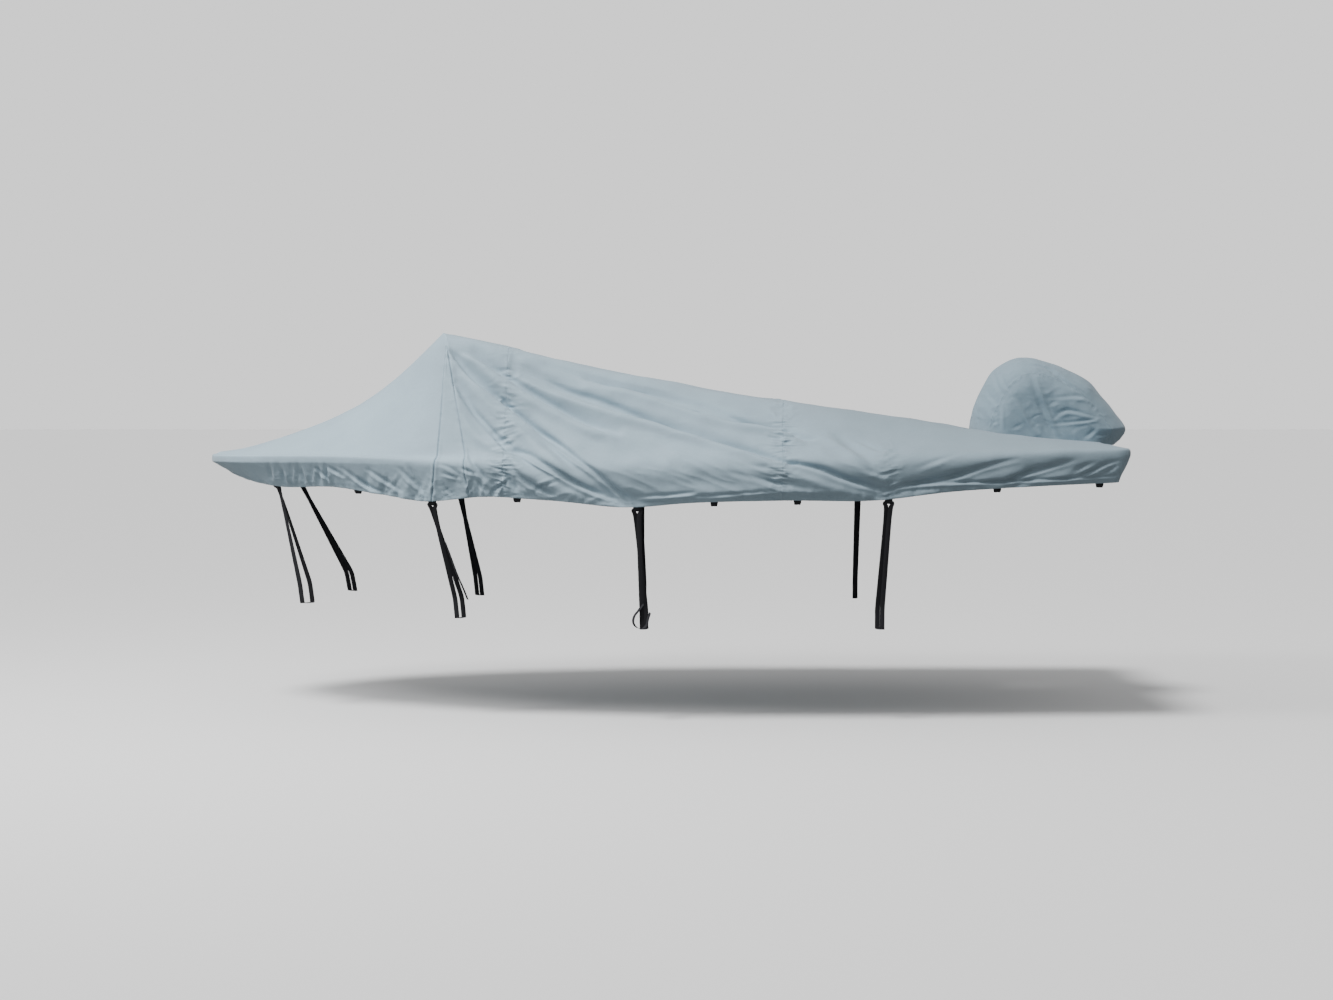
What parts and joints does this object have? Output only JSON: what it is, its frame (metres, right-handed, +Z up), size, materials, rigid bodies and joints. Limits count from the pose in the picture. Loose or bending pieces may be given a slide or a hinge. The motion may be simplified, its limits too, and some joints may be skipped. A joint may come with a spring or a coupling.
{
  "type": "boat cover",
  "caption": "Fitted cloth cover for an open motor boat, drawn over its windshield, with hem loops, tie-down straps and a matching motor hood.",
  "frame": {"origin": "under the cover's top, at the middle of the windshield that carries it", "axes": "+X along the boat towards its stern, +Y towards starboard, +Z up"},
  "size_m": [4.9551, 2.0683, 1.5233],
  "materials": {
    "cloth": "coated woven polyester, matt with a faint sheen",
    "hood_cloth": "coated woven polyester, matt with a faint sheen",
    "webbing": "woven webbing, matt"
  },
  "bodies": {
    "root": {"bow_panel": "cloth", "screen_gusset_port": "cloth", "screen_gusset_starboard": "cloth", "screen_panel": "cloth", "middle_panel": "cloth", "stern_panel": "cloth", "hood_gusset": "hood_cloth", "hood_side_port": "hood_cloth", "hood_side_starboard": "hood_cloth", "hem_loop_port_01": "webbing", "hem_loop_port_02": "webbing", "hem_loop_port_03": "webbing", "hem_loop_port_04": "webbing", "hem_loop_port_05": "webbing", "hem_loop_port_06": "webbing", "hem_loop_port_07": "webbing", "hem_loop_port_08": "webbing", "hem_loop_port_09": "webbing", "hem_loop_port_10": "webbing", "hem_loop_starboard_01": "webbing", "hem_loop_starboard_02": "webbing", "hem_loop_starboard_03": "webbing", "hem_loop_starboard_04": "webbing", "hem_loop_starboard_05": "webbing", "hem_loop_starboard_06": "webbing", "hem_loop_starboard_07": "webbing", "hem_loop_starboard_08": "webbing", "hem_loop_starboard_09": "webbing", "hem_loop_starboard_10": "webbing", "tie_strap_port_bow": "webbing", "tie_strap_port_screen": "webbing", "tie_strap_port_middle": "webbing", "tie_strap_port_aft": "webbing", "tie_strap_starboard_bow": "webbing", "tie_strap_starboard_screen": "webbing", "tie_strap_starboard_middle": "webbing", "tie_strap_starboard_aft": "webbing"}
  },
  "joints": []
}
